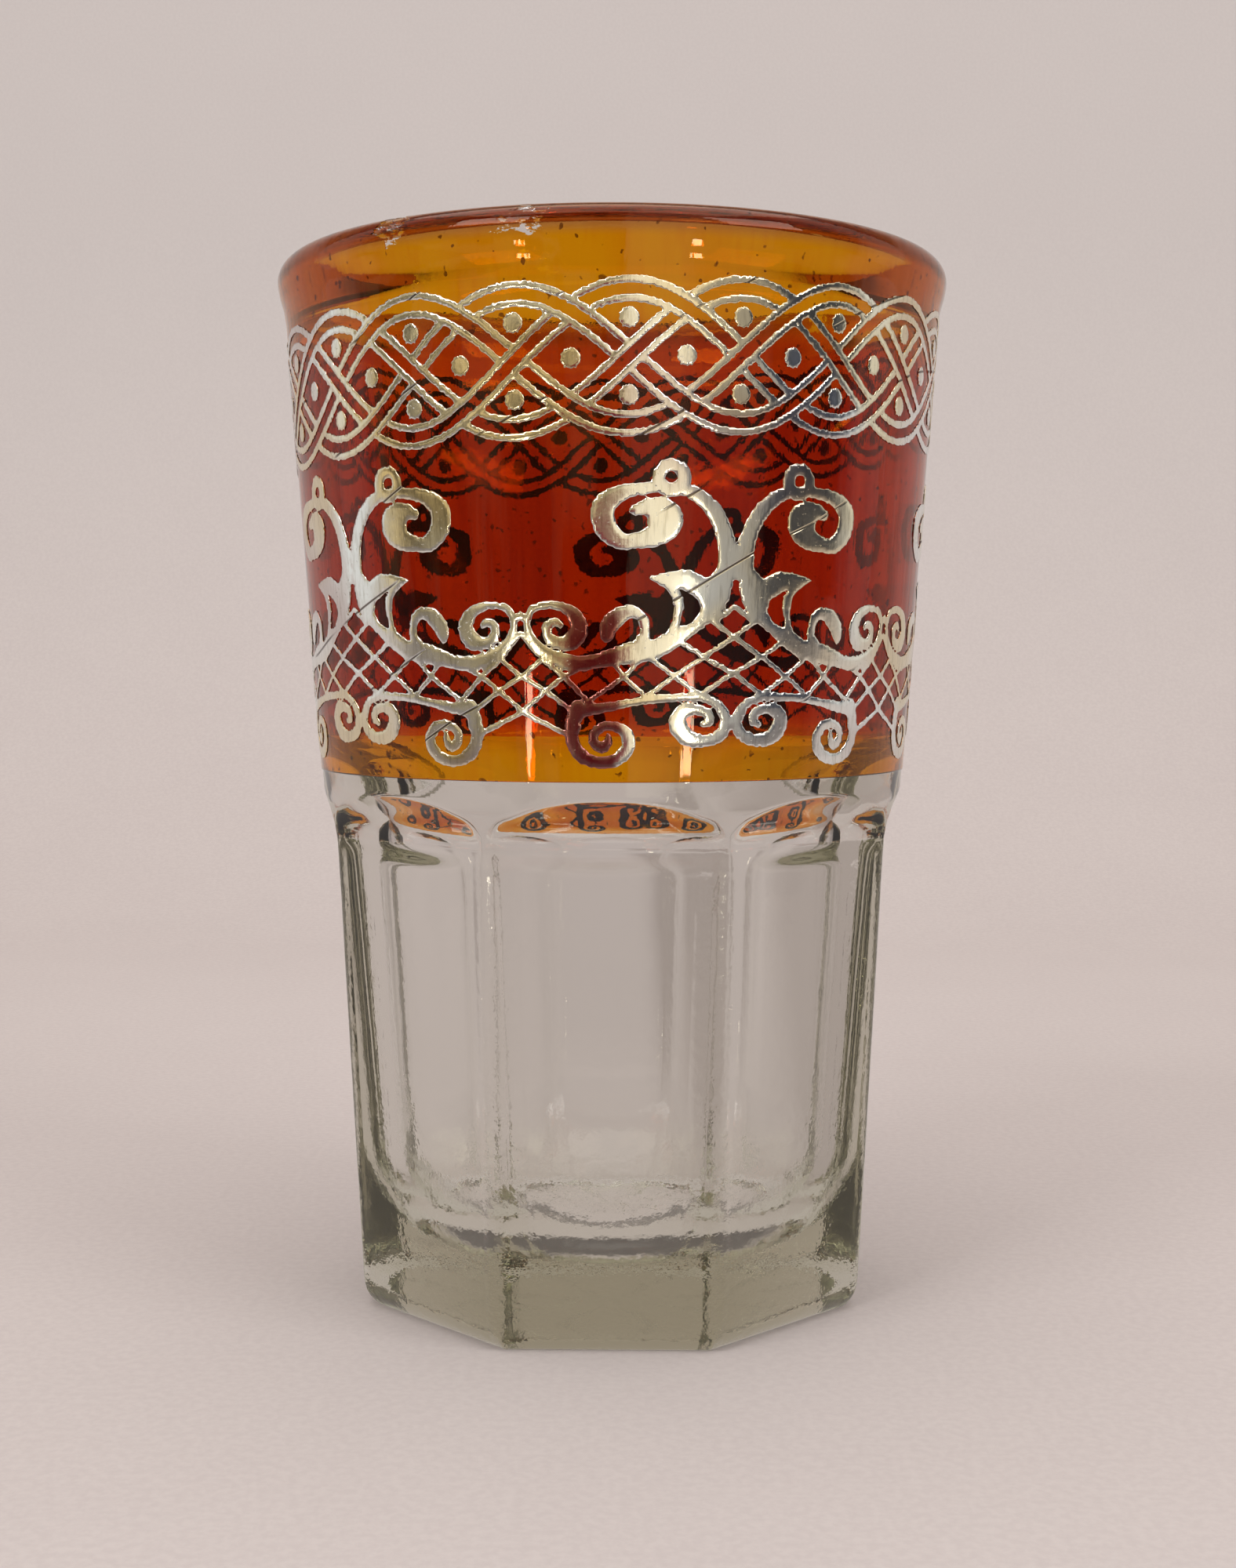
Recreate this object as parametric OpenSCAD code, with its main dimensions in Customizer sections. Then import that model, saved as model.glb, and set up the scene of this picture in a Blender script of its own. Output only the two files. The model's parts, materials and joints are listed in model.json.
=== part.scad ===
// Moroccan tea glass: a moulded tumbler with eight pressed facets below and a smooth
// flared wall above. The wall is lacquered amber outside, and carries two bands of
// silver foil: a four strand braid under the lip and a lace of scrolls below it.
// Origin: the middle of the table plane. +Z runs up the axis of the glass, and -Y is the
// front, where the middle of one facet lies.

/* [Tumbler] */
// Height from the table to the top of the lip
height = 127.5; // [105:0.5:150]
// Height of the smooth upper wall, from the shoulder to the top of the lip
upper_h = 65.5; // [62:0.5:75]
// Height of the flare below the top of the lip
flare_h = 8; // [6.5:0.5:9]
// Widest radius of the lip
lip_r = 41.2; // [40.5:0.1:46]
// Radius of the round roll of glass that forms the lip
lip_roll_r = 2.5; // [1.8:0.1:3]
// Outer radius of the smooth wall where the flare to the lip starts
wall_top_r = 40.15; // [38:0.05:40.4]
// Outer radius of the smooth wall at the shoulder
shoulder_r = 36.1; // [34.5:0.1:37.5]
// Radius of the moulded body at the table, before the facets are pressed
foot_r = 32.8; // [31:0.1:39]
// Thickness of the smooth wall
wall = 2.3; // [1.8:0.1:3]

/* [Facets] */
// Number of facets round the lower body
facets = 8; // [6:1:10]
// Depth to which neighbouring facets cut into the body where they meet in a rib
rib_cut = 0.1; // [0:0.05:0.5]
// Distance below the shoulder at which the arched top of a facet starts
facet_drop = 4.5; // [4.4:0.1:10]
// Radius of the hollow curve that runs a facet out into the smooth wall
facet_runout_r = 8; // [6:0.5:10]
// Radius of the rounded bottom edge of a facet
foot_edge_r = 5.7; // [5:0.1:7]
// Height of the rounded bottom edge
foot_edge_h = 4.3; // [3:0.1:4.9]

/* [Cavity] */
// Thickness of the solid base
base_h = 7.5; // [6:0.5:14]
// Radius of the flat floor of the cavity
floor_r = 12; // [8:0.5:16]
// Height above the floor at which the rounded well meets the wall
well_h = 13.5; // [10:0.5:16]
// Thickness of glass behind a facet at the top of the well
well_wall = 4.9; // [4:0.1:6]
// Thickness of glass behind a facet at the waist of the cavity
waist_wall = 3.5; // [3:0.1:4.5]
// Distance of the waist below the shoulder, where the inside starts to widen
waist_drop = 9; // [8:0.5:14]
// Distance above the shoulder at which the widened inside reaches the smooth wall
bust_rise = 5.5; // [3:0.5:10]
// Width of the ring on which the glass stands, at the middle of a facet
foot_ring_w = 6.5; // [4:0.5:12]
// Depth of the recess inside that ring
recess_h = 0.6; // [0.3:0.1:1.5]

/* [Lacquer] */
// Distance of the lower edge of the amber lacquer above the shoulder
lacquer_rise = 3.7; // [2:0.1:8]
// Thickness of the lacquer
lacquer_t = 0.08; // [0.06:0.01:0.2]
// Gap left between glass, lacquer and foil, so that no two skins share a face
skin_gap = 0.05; // [0.04:0.01:0.1]

/* [Foil] */
// Thickness of the foil
foil_t = 0.1; // [0.08:0.01:0.2]
// Width by which the foil spreads past its drawn lines and rounds their joins
foil_soft = 0.08; // [0.04:0.01:0.12]

/* [Braid] */
// Number of strand crossings round the glass, a multiple of the weave's repeat
braid_count = 20; // [15:5:25]
// Distance of the middle of the braid below the top of the lip
braid_drop = 16.25; // [16:0.05:18]
// Rise of a strand's centre line from the middle of the braid to its crown
braid_rise = 7.05; // [6:0.05:7.3]
// Width of a strand over its two foil lines
strand_w = 2.75; // [2.2:0.05:3]
// Width of one foil line
strand_line = 0.72; // [0.5:0.02:0.9]
// Diameter of the dots between the strands
dot_d = 2.2; // [1.4:0.1:2.6]
// Height of the upper and lower rows of dots from the middle row
dot_row = 4.05; // [3.4:0.05:4.4]
// Turn of the braid round the glass from the front facet, in degrees
braid_turn = 3.8; // [0:0.1:18]

/* [Scrolls] */
// Number of times the scroll motif repeats round the glass
scroll_count = 5; // [4:1:6]
// Clearance from the lower edge of the lacquer to the lowest curl
scroll_foot_gap = 1.6; // [0.5:0.1:4]
// Clearance from the topmost knob to the braid
scroll_head_gap = 2.2; // [1:0.1:5]
// Width of the lattice bars
lattice_w = 0.55; // [0.4:0.05:0.8]
// Turn of the scroll band round the glass from the front facet, in degrees
scroll_turn = 21.9; // [0:0.1:72]

/* [Hidden] */
$fn = 160;

// Heights above the table
shoulder_z = height - upper_h;
wall_top_z = height - flare_h;
facet_head_z = shoulder_z - facet_drop;
well_z = base_h + well_h;
waist_z = shoulder_z - waist_drop;
bust_z = shoulder_z + bust_rise;
lacquer_z = shoulder_z + lacquer_rise;
braid_z = height - braid_drop;
// Middle of the roll of glass that forms the lip
roll_r = lip_r - lip_roll_r;
roll_z = height - lip_roll_r;
// Amount by which the rolled lip stands proud of the flared wall
lip_proud = 0.35;
// Radius that the smooth wall gains for each millimetre of height
wall_slope = (wall_top_r - shoulder_r) / (wall_top_z - shoulder_z);
// Radius that the lower body gains for each millimetre of height
body_slope = (shoulder_r - foot_r) / shoulder_z;
// Distance of a facet from the axis at the table, and where its arched top starts
rib_turn = 180 / facets;
facet_foot = (foot_r - rib_cut) * cos(rib_turn);
facet_head = (foot_r + body_slope * facet_head_z - rib_cut) * cos(rib_turn);
// Lean of a facet from upright
facet_lean = atan((facet_head - facet_foot) / facet_head_z);
// Inner radius at the top of the well and at the waist
well_r = facet_foot + well_z * tan(facet_lean) - well_wall;
waist_r = facet_foot + waist_z * tan(facet_lean) - waist_wall;
// Distance of a facet from the axis where its rounded bottom edge starts
foot_edge_x = facet_foot + foot_edge_h * tan(facet_lean);
// Radius of the recess under the base
recess_r = foot_edge_x - foot_edge_r + sqrt(pow(foot_edge_r, 2) - pow(foot_edge_h, 2))
    - foot_ring_w;
// Distance from the glass to the inner face of the foil, which lies on the lacquer
foil_gap = 2 * skin_gap + lacquer_t;
// Reach of the cutters beyond the glass, and past a flat face that they cut through
far = 60;
over = 1;
// Step round the rounded well in degrees, and up the rise to the wide wall as a share of it
well_step = 7.5;
rise_step = 1 / 8;
// Depth by which a facet's arcs cut past the line they join, so that they cross it cleanly
bite = 0.02;
// Degrees from the end of a strip of the foil transfer to the seam between two strips
seam = 0.02;
// Sides of the round end of a stroke of foil, of the knob and of the hole in it
end_sides = 10;
knob_sides = 32;
hole_sides = 16;

function wall_r(z) = shoulder_r + wall_slope * (z - shoulder_z);
function smooth(t) = t * t * (3 - 2 * t);

// Half section of the glass without its cavity and facets, grown outwards by d
module outline(d = 0) {
    polygon([
        [0, 0], [foot_r + d, 0], [shoulder_r + d, shoulder_z], [wall_top_r + d, wall_top_z],
        [lip_r - lip_proud + d, roll_z], [0, roll_z]
    ]);
    translate([roll_r, roll_z]) circle(lip_roll_r + d);
}

// Half section of the cavity: flat floor, rounded well, narrow waist and wide smooth wall
module cavity_outline() {
    well = [for (t = [0 : well_step : 90])
        [floor_r + (well_r - floor_r) * sin(t), well_z - (well_z - base_h) * cos(t)]];
    bust_r = wall_r(bust_z) - wall;
    rise = [for (t = [0 : rise_step : 1])
        [waist_r + (bust_r - waist_r) * smooth(t), waist_z + (bust_z - waist_z) * t]];
    difference() {
        polygon(concat(
            [[0, base_h]], well, rise,
            [[wall_top_r - wall, wall_top_z], [lip_r - lip_proud - wall, roll_z],
             [roll_r, roll_z], [roll_r, height + over], [0, height + over]]));
        translate([roll_r, roll_z]) circle(lip_roll_r);
    }
}

// What a facet's press takes away, as a section square to the facet
module facet_press_section() {
    square_out = [cos(facet_lean), -sin(facet_lean)];
    run_out = [facet_head, facet_head_z] + (facet_runout_r - bite) * square_out;
    foot_edge = [foot_edge_x, foot_edge_h] - (foot_edge_r - bite) * square_out;
    polygon([[facet_foot, 0], [facet_foot - over * tan(facet_lean), -over], [far, -over],
             [far, run_out[1]], run_out, [facet_head, facet_head_z]]);
    translate(run_out) circle(facet_runout_r);
    difference() {
        translate([facet_foot - foot_edge_r / 2, -over])
            square([foot_edge_r, foot_edge_h + over]);
        translate(foot_edge) circle(foot_edge_r);
    }
}

module tumbler() {
    color([0.84, 0.88, 0.84, 0.5])
    difference() {
        rotate_extrude() outline();
        for (i = [0 : facets - 1])
            rotate([0, 0, i * 360 / facets - 90])
            rotate([90, 0, 0])
            linear_extrude(far, center = true)
                facet_press_section();
        rotate_extrude() cavity_outline();
        translate([0, 0, -over]) cylinder(r = recess_r, h = recess_h + over);
    }
}

// A skin of thickness t, standing off the outside of the glass by the given gap
module skin(gap, t) {
    rotate_extrude()
    intersection() {
        difference() {
            outline(gap + t);
            outline(gap);
        }
        polygon([[0, lacquer_z], [far, lacquer_z], [far, height + over],
                 [roll_r, height + over], [roll_r, roll_z], [0, roll_z]]);
    }
}

module amber_lacquer() {
    color([0.72, 0.33, 0.02, 0.8])
        skin(skin_gap, lacquer_t);
}

// Place on a drawing of the point a degrees round the glass and z above the table
function on_wall(a, z) = [wall_r(z) * sin(a), z];
function flip(list) = [for (i = [len(list) - 1 : -1 : 0]) list[i]];

// The foil was laid on in strips. One strip, within the given angle either side of the front
module foil_sector(half_angle) {
    near = foil_gap;
    out = foil_gap + foil_t;
    rotate([0, 0, -90 - half_angle])
    rotate_extrude(angle = 2 * half_angle)
        polygon([for (p = [[near, lacquer_z], [out, lacquer_z], [out, wall_top_z],
                           [near, wall_top_z]])
            [wall_r(p[1]) + p[0], p[1]]]);
}

// Lays a flat drawing on the glass over the lacquer, turned round it by the given angle
module wrapped(turn, half_angle) {
    rotate([0, 0, turn])
    intersection() {
        foil_sector(half_angle - seam);
        translate([0, -shoulder_r / 2, 0])
        rotate([90, 0, 0])
        linear_extrude(wall_top_r)
        offset(delta = foil_soft) children();
    }
}

// Degrees from one crossing to the next, and from a sector's middle crossing to its middle
braid_step = 360 / braid_count;
braid_mid = braid_step / 4;
// Over strand at the middle, upper and lower crossing of each sector in one repeat of the
// weave: 1 where the strand that rises to the right lies on top
weave = [[0, 0, 1], [1, 0, 0], [1, 0, 0], [1, 1, 1], [0, 1, 1]];

// Point on strand k, a degrees from the sector's middle crossing, e off its centre line
function strand_point(k, a, e) =
    let(p = on_wall(a - braid_mid, strand_z(k, a)),
        q = on_wall(a - braid_mid + 1, strand_z(k, a + 1)),
        o = on_wall(a - braid_mid - 1, strand_z(k, a - 1)),
        t = (q - o) / norm(q - o))
    p + e * [-t[1], t[0]];
function strand_z(k, a) = braid_z + braid_rise * cos(braid_count / 4 * a - 90 * k);

// Length of strand k between two offsets from its centre line, its ends on whole steps
module ribbon(k, from, to, e0, e1) {
    steps = [for (i = [from : to]) i * braid_step / 6];
    polygon(concat([for (a = steps) strand_point(k, a, e0)],
                   flip([for (a = steps) strand_point(k, a, e1)])));
}

// Crossings that reach into a sector, from the weave of the sector before it, its own and
// the next one's: rising strand, falling strand, place in sixths of a step, which is over
function crossings(last, here, next) = [
    [1, 3, 0, here[0]], [1, 0, 3, here[1]], [2, 3, 3, here[2]],
    [0, 3, -3, last[1]], [1, 2, -3, last[2]], [2, 0, 6, next[0]]
];

// One sector: both foil lines of each strand, left out where it passes under another
module braid_sector(last, here, next) {
    edge = strand_w / 2 - foil_soft;
    line = strand_line - 2 * foil_soft;
    for (k = [0 : 3])
        difference() {
            for (side = [-1, 1])
                ribbon(k, -3, 6, side * edge, side * (edge - line));
            for (c = crossings(last, here, next))
                if (c[c[3] == 1 ? 1 : 0] == k)
                    ribbon(c[c[3] == 1 ? 0 : 1], c[2] - 3, c[2] + 3, -edge, edge);
        }
}

module braid_foil() {
    color([0.86, 0.85, 0.78])
    for (i = [0 : braid_count - 1])
        wrapped(braid_turn + i * braid_step + braid_mid, braid_step / 2)
            braid_sector(weave[(i + 1) % 5], weave[(i + 2) % 5], weave[(i + 3) % 5]);
}

// The dots that fill the meshes of the braid
module braid_dots() {
    color([0.86, 0.85, 0.78])
    for (i = [0 : braid_count - 1])
        intersection() {
            skin(foil_gap, foil_t);
            rotate([0, 0, braid_turn + i * braid_step])
            for (dot = [[0, dot_row], [0, -dot_row], [braid_step / 2, 0]])
                rotate([0, 0, dot[0]])
                translate([0, -shoulder_r / 2, braid_z + dot[1]])
                rotate([90, 0, 0])
                cylinder(d = dot_d, h = wall_top_r);
        }
}

// Degrees from the middle of the main scroll to the middle of the lesser one beside it
half_motif = 180 / scroll_count;
// The drawing of half a scroll is art_turn degrees wide and art_h high, from its lowest curl
// to the top of the knob, and it is fitted to the room between lacquer edge and braid
art_turn = 36;
art_h = 33.35;
scroll_z = lacquer_z + scroll_foot_gap;
scroll_fit = (braid_z - braid_rise - strand_w / 2 - scroll_head_gap - scroll_z) / art_h;

// A drawn curve through points of angle, height and width: Catmull-Rom, with one more point
// between two given ones where the way bends more than curve_bend degrees at either
curve_bend = 24;
function knot(p, i) = p[max(0, min(len(p) - 1, i))];
function between(a, b, c, d, t) = b + t / 2 * (c - a
    + t * (2 * a - 5 * b + 4 * c - d + t * (3 * (b - c) + d - a)));
function flat_way(p, i) = let(v = [p[i + 1][0] - p[i][0], p[i + 1][1] - p[i][1]]) v / norm(v);
function bend(p, i) = i < 1 || i > len(p) - 2 ? 0
    : let(c = flat_way(p, i - 1) * flat_way(p, i)) acos(max(-1, min(1, c)));
function drawn(p) = concat(
    [for (i = [0 : len(p) - 2])
        for (t = max(bend(p, i), bend(p, i + 1)) > curve_bend ? [0, 0.5] : [0])
            between(knot(p, i - 1), p[i], p[i + 1], knot(p, i + 2), t)],
    [p[len(p) - 1]]);
function placed(p) = on_wall(half_motif * (p[0] / art_turn - 0.5), scroll_z + p[1] * scroll_fit);

// A stroke of foil: a ribbon of changing width with round ends
module stroke(points) {
    way = drawn(points);
    last = len(way) - 1;
    spot = [for (p = way) placed(p)];
    half = [for (p = way) max(p[2] * scroll_fit / 2 - foil_soft, foil_soft / 2)];
    side = [for (i = [0 : last])
        let(v = spot[min(i + 1, last)] - spot[max(i - 1, 0)]) [-v[1], v[0]] / norm(v) * half[i]];
    for (i = [0 : last - 1])
        polygon([spot[i] - side[i], spot[i] + side[i],
                 spot[i + 1] + side[i + 1], spot[i + 1] - side[i + 1]]);
    for (i = [0, last])
        translate(spot[i]) circle(half[i], $fn = end_sides);
}

module bar(points, w = lattice_w) {
    stroke([for (p = points) [p[0], p[1], w / scroll_fit]]);
}

// A flat patch of foil inside a ring of points
module area(points) {
    polygon([for (p = points) placed(p)]);
}

// The horned head of the main scroll, with the knob on its back
knob = [11.2, 31.3];
knob_r = 2.05;
knob_hole_r = 0.65;
module horn() {
    difference() {
        union() {
            stroke([[1.6, 21, 2.1], [1.6, 23.7, 2.1], [2.6, 26, 1.9], [4.3, 28, 1.8],
                    [7.5, 29.7, 1.5], [11, 30.3, 1.2], [15, 30.2, 1.2], [19, 29.7, 1.7],
                    [22, 28.3, 2.4], [21.8, 26.1, 2.4], [19.5, 24.6, 1.9], [17, 24.6, 1.7],
                    [13.5, 25.3, 2.6], [12.2, 27, 3.6], [14.5, 28.2, 1.9],
                    [16.9, 27.9, 1.2]]);
            translate(placed(knob)) circle(knob_r * scroll_fit - foil_soft, $fn = knob_sides);
        }
        translate(placed(knob)) circle(knob_hole_r * scroll_fit + foil_soft, $fn = hole_sides);
    }
}

// The stem below the horns and the leaf that curls off it
module leaf() {
    area([[1.6, 21.9], [0.9, 21.4], [0.3, 21], [0.7, 19.5], [1.2, 18.2], [2.2, 17],
          [3.6, 16], [7.5, 14.9], [11.5, 13.6], [14.2, 13.9], [12.6, 14.4], [11.5, 15],
          [10.8, 15.9], [10.5, 17.2], [10.9, 18.7], [12, 19.5], [13.3, 20], [15, 20.7],
          [13, 21.05], [11.2, 21.3], [9.5, 21.55], [8, 21.5], [6.6, 21.15], [5.3, 20.7],
          [4.6, 20.8], [3.6, 21.5], [2.6, 22.3]]);
}

module leaf_hole() {
    area([[9.9, 19.5], [8.9, 19.3], [7.8, 18.9], [6.4, 18.2], [6, 17.3], [6.4, 16.7],
          [7.4, 15.9], [8.6, 15.5], [9.6, 15.4], [9.5, 16.2], [8.9, 17.5], [9, 18.5]]);
}

// The band that swings from the stem over the small curl to the lesser scroll
module swag() {
    stroke([[3.8, 16.6, 1.2], [7, 15.2, 1], [10, 14, 1.5], [13, 13.1, 2], [16, 12.7, 2.4],
            [20, 12.2, 2], [23, 11.7, 1.6], [26, 11.4, 1.7], [29, 11.7, 1.7],
            [32, 12.7, 1.2], [34, 14.1, 0.9], [34.9, 15.7, 0.8], [34, 17.2, 0.8],
            [32, 17.7, 0.8], [29.5, 17.6, 1], [27.3, 16.9, 1.4], [26.1, 15.3, 1.9],
            [27.2, 13.9, 2], [29.3, 13.6, 1.4], [31.1, 14.1, 1.2], [31.5, 15.3, 1.1],
            [30.2, 15.9, 0.9], [29.2, 15.5, 0.6]]);
    stroke([[16.5, 13.2, 1.6], [15.3, 14.7, 1.1], [15.9, 16.4, 1.2], [17.6, 17, 1.4],
            [19.7, 16.5, 1.9], [21.2, 15.4, 1.9], [21.6, 14.4, 1.4], [21.4, 13.8, 0.5]]);
    bar([[34.9, 16.1], [36, 16.7]], 0.8);
}

// The spirals that hang below the band, and the flat arch between the small ones
module pendants() {
    stroke([[26.5, 6.7, 1.6], [27.2, 5, 1.8], [27.5, 3.2, 1.5], [26.2, 1.5, 1.5],
            [23.5, 0.65, 1.3], [20.5, 0.8, 1.4], [18.3, 1.9, 1.5], [18, 3.3, 1.4],
            [19.5, 4.4, 1.2], [21.8, 4.6, 1.1], [23.6, 3.9, 1.1], [23.7, 2.7, 1.1],
            [22.3, 2.3, 1.3], [21.3, 3, 0.9], [21.4, 3.6, 0.5]]);
    stroke([[25.5, 6.3, 1.4], [22, 6.6, 1.2], [18, 7.1, 0.9], [14, 7.5, 0.9],
            [10, 7.7, 0.9], [6, 7.7, 0.9], [3, 7.1, 1], [1.5, 6, 1.3], [1, 4.7, 1.4],
            [2.2, 3.5, 1.4], [5, 2.9, 1.4], [8, 3.4, 1.9], [9.6, 4.7, 2],
            [8.9, 6, 1.7], [6.7, 6.4, 1.2], [4.6, 6, 1.2], [4, 5.1, 1],
            [5.3, 4.7, 0.7]]);
}

// The lattice of thin bars that fills the ground between the bands
module lattice() {
    for (way = [
        [[0, 17.6], [3.8, 15.9]],
        [[0, 14.3], [3.8, 16]],
        [[0, 14.3], [5.3, 12.1], [10.3, 10], [15, 7.8]],
        [[0, 10.4], [5.5, 8]],
        [[0, 10.3], [5.3, 12.1], [9.2, 13.7]],
        [[5.5, 7.9], [10.3, 10], [15, 12.3]],
        [[15, 7.7], [18.7, 10], [20.8, 11.6]],
        [[16.2, 11.7], [18.7, 10], [25.5, 6.9]],
        [[24.3, 7], [28.8, 10], [32.4, 11.9], [36, 14.7]],
        [[25.5, 11], [28.8, 10], [31.9, 8.4], [36, 6.2]],
        [[30.4, 11.9], [32.4, 11.9], [36, 9.9]],
        [[27, 6.1], [31.9, 8.4], [36, 10]],
        [[27.4, 3.4], [36, 6.1]]
    ])
        bar(way);
}

module half_scroll() {
    horn();
    difference() {
        leaf();
        leaf_hole();
    }
    swag();
    pendants();
    lattice();
}

module scroll_foil() {
    color([0.86, 0.85, 0.78])
    for (i = [0 : scroll_count - 1], side = [0, 1])
        wrapped(scroll_turn + i * 2 * half_motif + (side - 0.5) * half_motif, half_motif / 2)
            mirror([1 - side, 0]) half_scroll();
}

tumbler();
amber_lacquer();
braid_foil();
braid_dots();
scroll_foil();
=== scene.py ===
# %% [markdown]
# # A pressed tea glass, lacquered amber and banded with foil
# The real thing is one moulded tumbler. Eight facets are pressed into its lower body, a clear
# amber lacquer is fired on to the upper wall, and two bands of thin foil lie on the lacquer.
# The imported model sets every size; the pieces made here stand in the same place with more detail.

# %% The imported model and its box
import json
import math

import bmesh
import bpy
import numpy as np
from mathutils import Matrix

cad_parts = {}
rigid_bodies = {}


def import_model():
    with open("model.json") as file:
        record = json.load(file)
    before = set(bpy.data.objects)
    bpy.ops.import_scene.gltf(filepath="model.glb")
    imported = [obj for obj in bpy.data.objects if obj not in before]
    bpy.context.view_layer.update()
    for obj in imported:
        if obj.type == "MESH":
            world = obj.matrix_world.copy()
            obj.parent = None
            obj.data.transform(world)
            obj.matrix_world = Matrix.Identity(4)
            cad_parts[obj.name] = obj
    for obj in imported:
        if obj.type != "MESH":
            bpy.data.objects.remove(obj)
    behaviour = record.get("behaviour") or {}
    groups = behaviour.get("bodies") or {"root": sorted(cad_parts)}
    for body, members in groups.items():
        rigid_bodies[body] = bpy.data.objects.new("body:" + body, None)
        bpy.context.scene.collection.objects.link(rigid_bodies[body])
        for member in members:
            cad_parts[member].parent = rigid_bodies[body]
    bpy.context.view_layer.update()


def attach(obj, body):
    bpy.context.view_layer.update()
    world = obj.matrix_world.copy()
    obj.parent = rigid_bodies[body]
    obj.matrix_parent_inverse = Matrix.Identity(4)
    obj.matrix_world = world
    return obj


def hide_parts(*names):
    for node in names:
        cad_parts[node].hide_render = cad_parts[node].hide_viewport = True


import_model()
MM = 0.001

# %% [markdown]
# ## The shape as a rule
# A pressed glass is a body of revolution that a mould has flattened in eight places. Its section
# is therefore kept as a few plain curves: radius against height outside and inside, and the
# distance of a facet from the axis. A soft minimum joins facet to wall, as the press leaves an
# edge that fire polishing has rounded.

# %% Section curves, in millimetres
HEIGHT, ROLL_R = 127.5, 2.5
ROLL = (38.7, HEIGHT - ROLL_R)
SHOULDER, WALL_TOP = (36.1, 62.0), (40.15, 119.5)
SLOPE = (WALL_TOP[0] - SHOULDER[0]) / (WALL_TOP[1] - SHOULDER[1])
FACETS, FACET_FOOT, FACET_HEAD, FACET_HEAD_Z, RUNOUT_R = 8, 30.21, 33.04, 57.5, 8.0
FOOT_R, FOOT_EDGE_R, FOOT_EDGE_H = 32.8, 5.7, 4.3
BASE_H, FLOOR_R, WELL_R, WELL_Z = 7.5, 12.0, 26.34, 21.0
WAIST_R, WAIST_Z, BUST_Z, WALL = 29.32, 54.8, 71.2, 2.3
SHELF, SHELF_H, NECK_Z = 1.0, 2.8, 61.4
RING_R, LACQUER_Z = 22.3, 65.7
BEAD_R, BEAD_Z, BEAD_H, RECESS_H, EDGE_SOFT = 36.2, 118.2, 5.2, 0.6, 0.3


def wall_r(z):
    """Outer radius of the smooth wall at height z."""
    return SHOULDER[0] + SLOPE * (z - SHOULDER[1])


def soft_min(a, b, k):
    """The smaller of two lengths, rounded over about k where they meet."""
    h = np.clip(0.5 + 0.5 * (b - a) / k, 0, 1)
    return b * (1 - h) + a * h - k * h * (1 - h)


def smooth(t):
    t = np.clip(t, 0, 1)
    return t * t * (3 - 2 * t)


def outer_round(z):
    """Outer radius before the facets are pressed, up to where the lip is widest."""
    knots_z = [0, SHOULDER[1], WALL_TOP[1], 121.6, 123.2, 124.3, 125.0]
    knots_r = [FOOT_R, SHOULDER[0], WALL_TOP[0], 40.45, 40.9, 41.13, 41.2]
    return np.interp(z, knots_z, knots_r)


def facet_x(z):
    """Distance from the axis to a facet at height z."""
    lean = (FACET_HEAD - FACET_FOOT) / FACET_HEAD_Z
    x = FACET_FOOT + lean * z
    edge_x = FACET_FOOT + lean * FOOT_EDGE_H - FOOT_EDGE_R
    low = np.clip(FOOT_EDGE_H - z, 0, FOOT_EDGE_H)
    x = np.where(z < FOOT_EDGE_H, edge_x + np.sqrt(FOOT_EDGE_R ** 2 - low ** 2), x)
    up = np.clip(z - FACET_HEAD_Z, 0, RUNOUT_R)
    run = FACET_HEAD + RUNOUT_R - np.sqrt(RUNOUT_R ** 2 - up ** 2) + lean * up
    x = np.where(z > FACET_HEAD_Z, run, x)
    return np.where(z > FACET_HEAD_Z + RUNOUT_R * 0.97, 90.0, x)


def inner_round(z):
    """Inner radius of the cavity at height z, on average round the glass."""
    z = np.asarray(z, float)
    well = FLOOR_R + (WELL_R - FLOOR_R) * np.sqrt(
        np.clip(1 - ((WELL_Z - np.clip(z, BASE_H, WELL_Z)) / (WELL_Z - BASE_H)) ** 2, 0, 1))
    middle = np.interp(z, [WELL_Z, WAIST_Z], [WELL_R, WAIST_R])
    # a short shelf first, then a straight neck, then the shoulder proper
    shelf = WAIST_R + SHELF * smooth((z - WAIST_Z) / SHELF_H)
    bust_r = wall_r(BUST_Z) - WALL - WAIST_R - SHELF
    rise = shelf + bust_r * smooth((z - NECK_Z) / (BUST_Z - NECK_Z))
    high = wall_r(z) - WALL
    bead = high - (high - BEAD_R) * smooth((z - BEAD_Z) / BEAD_H)
    return np.where(z < WELL_Z, well, np.where(z < WAIST_Z, middle,
                    np.where(z < BUST_Z, rise, bead)))


print("lip", ROLL[0] + ROLL_R, "mm in radius, wall slope", round(SLOPE, 4))

# %% [markdown]
# ## Glass body
# The body could be a lathe with eight boolean cuts, but a boolean leaves long thin faces that
# spoil refraction. A single grid of points, rows up the section and columns round the axis,
# keeps every face small and even. The columns crowd together at the ribs between the facets.

# %% The glass as one closed grid
RIB_CROWD, RIB_WORN = 0.6, 0.32


def columns(count=40):
    """Angles round the glass, denser near the ribs, which lie half a facet from the front."""
    t = np.linspace(0, 1, count, endpoint=False)
    warped = t - RIB_CROWD / (2 * math.pi) * np.sin(2 * math.pi * t)
    step = 2 * math.pi / FACETS
    return np.concatenate([(i + warped) * step for i in range(FACETS)]) + step / 2


def from_facet(th):
    """Angle from the middle of the nearest facet."""
    step = 2 * math.pi / FACETS
    return (th + step / 2) % step - step / 2


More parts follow.
